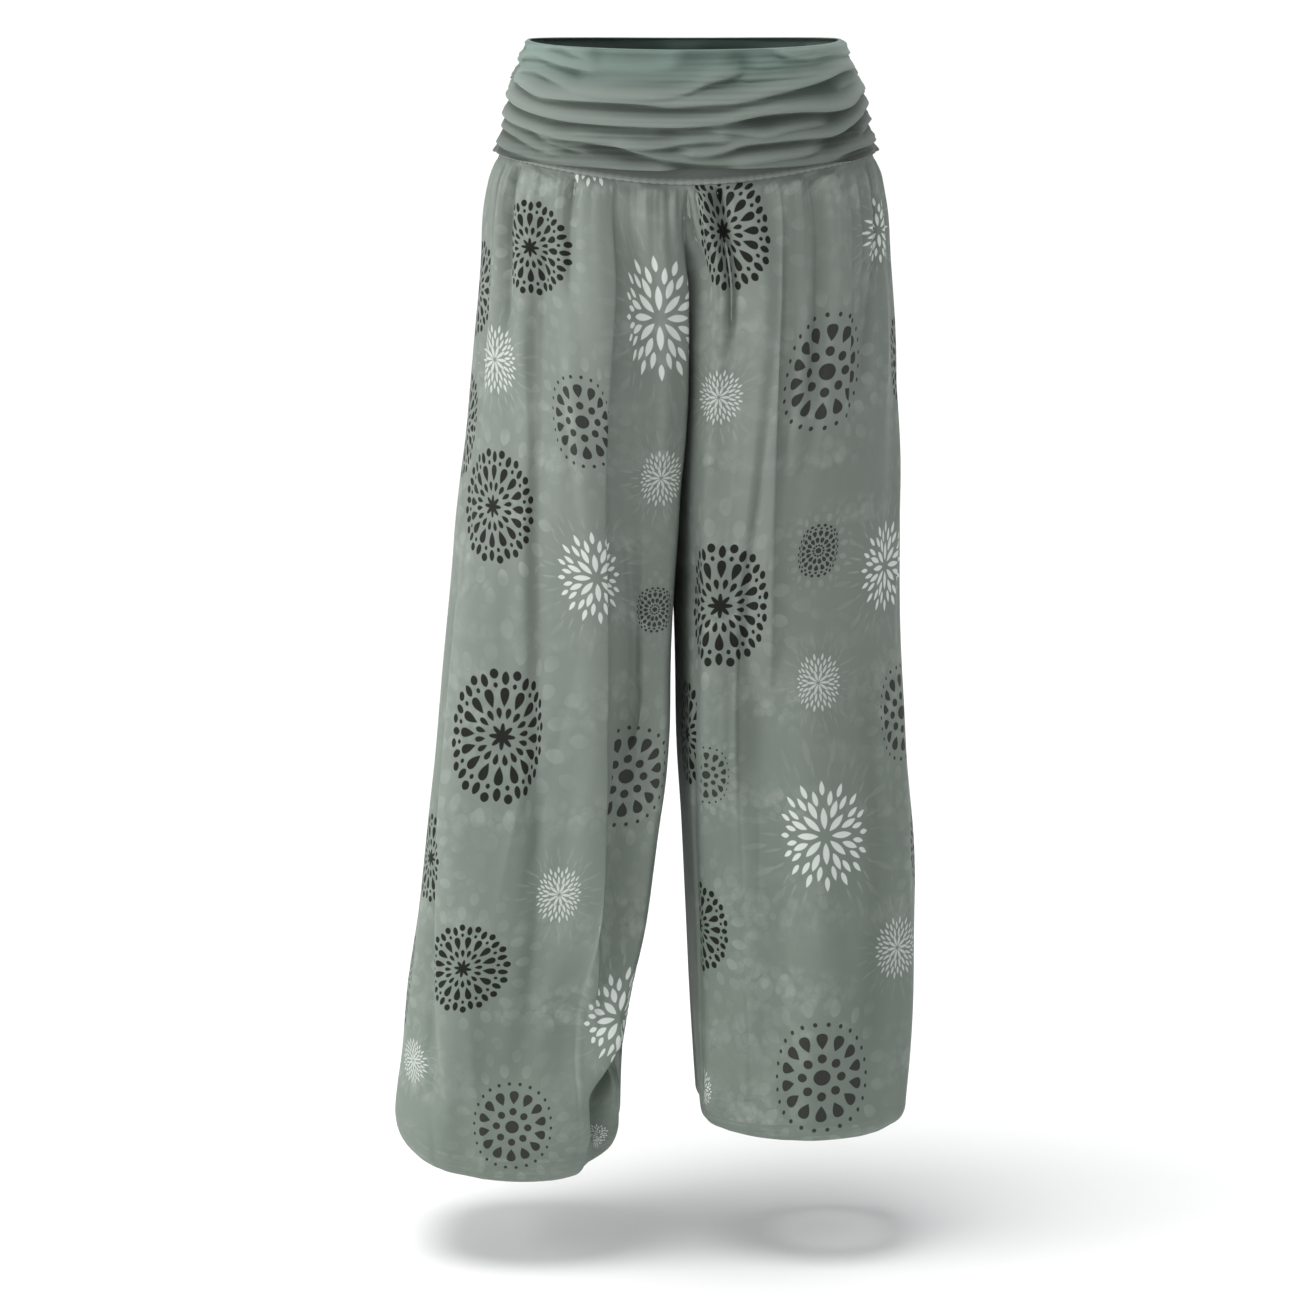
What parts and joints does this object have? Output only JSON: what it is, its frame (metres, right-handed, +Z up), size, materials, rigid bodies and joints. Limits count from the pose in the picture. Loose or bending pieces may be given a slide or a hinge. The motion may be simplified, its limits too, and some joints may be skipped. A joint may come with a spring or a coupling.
{
  "type": "harem trousers",
  "caption": "Wide harem trousers with a ruched jersey waistband, gathers under a plain yoke strip and balloon hems drawn in to elastic casings at the ankles.",
  "frame": {"origin": "middle of the waist opening, 8 mm below its top edge at the front centre, where the wearer's waist holds the trousers up", "axes": "+Z up along the wearer, -Y out of the front, +X towards the wearer's left"},
  "size_m": [0.4888, 0.2921, 1.0477],
  "materials": {
    "print_viscose": "thin plain-weave viscose in grey green with a print of black, dark grey and off-white rosettes, faint sheen",
    "jersey": "fine single jersey in darker grey green, a little teal at the top edge, matt"
  },
  "bodies": {
    "root": {"band_front": "jersey", "band_back": "jersey", "yoke_front": "jersey", "yoke_back": "jersey", "leg_front_right": "print_viscose", "leg_front_left": "print_viscose", "leg_back_right": "print_viscose", "leg_back_left": "print_viscose", "cuff_right": "print_viscose", "cuff_left": "print_viscose"}
  },
  "joints": []
}
